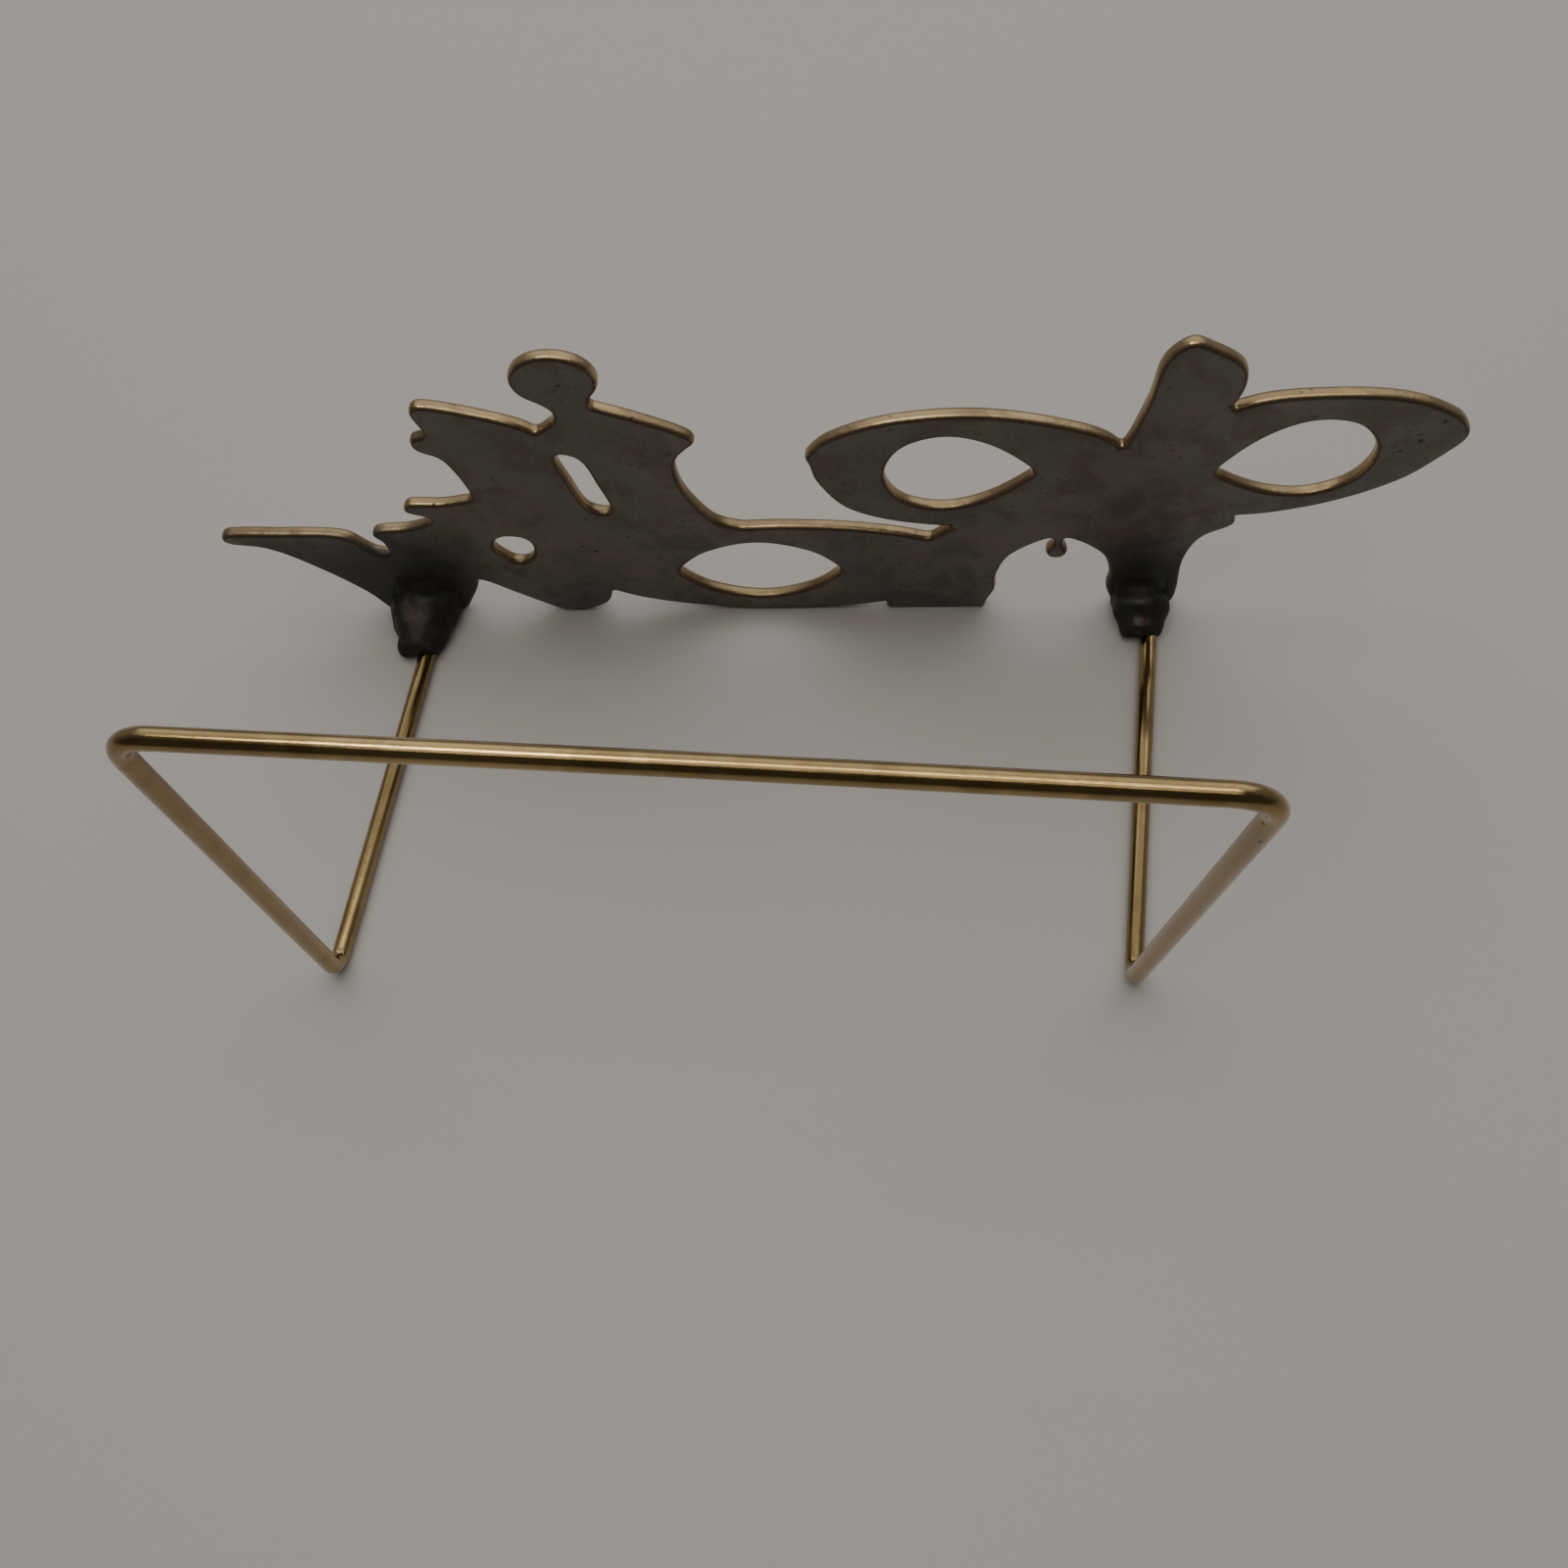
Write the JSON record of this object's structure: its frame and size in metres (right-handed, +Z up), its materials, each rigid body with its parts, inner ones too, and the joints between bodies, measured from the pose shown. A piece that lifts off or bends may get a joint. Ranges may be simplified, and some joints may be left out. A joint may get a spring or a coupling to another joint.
{
  "type": "photo album stand",
  "caption": "Free-standing brass album stand: a pierced leaf-pattern plate in front, and one bent rod behind it as legs, uprights and crossbar, with the album held between.",
  "frame": {"origin": "middle of the footprint's bounding box, on the surface that the stand rests on", "axes": "+X along the plate, +Y from the plate towards the crossbar, +Z up"},
  "size_m": [0.219, 0.0889, 0.0942],
  "materials": {
    "patinated_plate": "dark brown patina on the faces, worn to bright brass along the rounded edges",
    "rod_brass": "satin drawn brass, lightly tarnished, with a few dark pits",
    "solder": "heat-blackened lumpy solder with dull grey-green glints"
  },
  "bodies": {
    "root": {"fret_plate": "patinated_plate", "wire_frame": "rod_brass", "left_solder": "solder", "right_solder": "solder"}
  },
  "joints": []
}
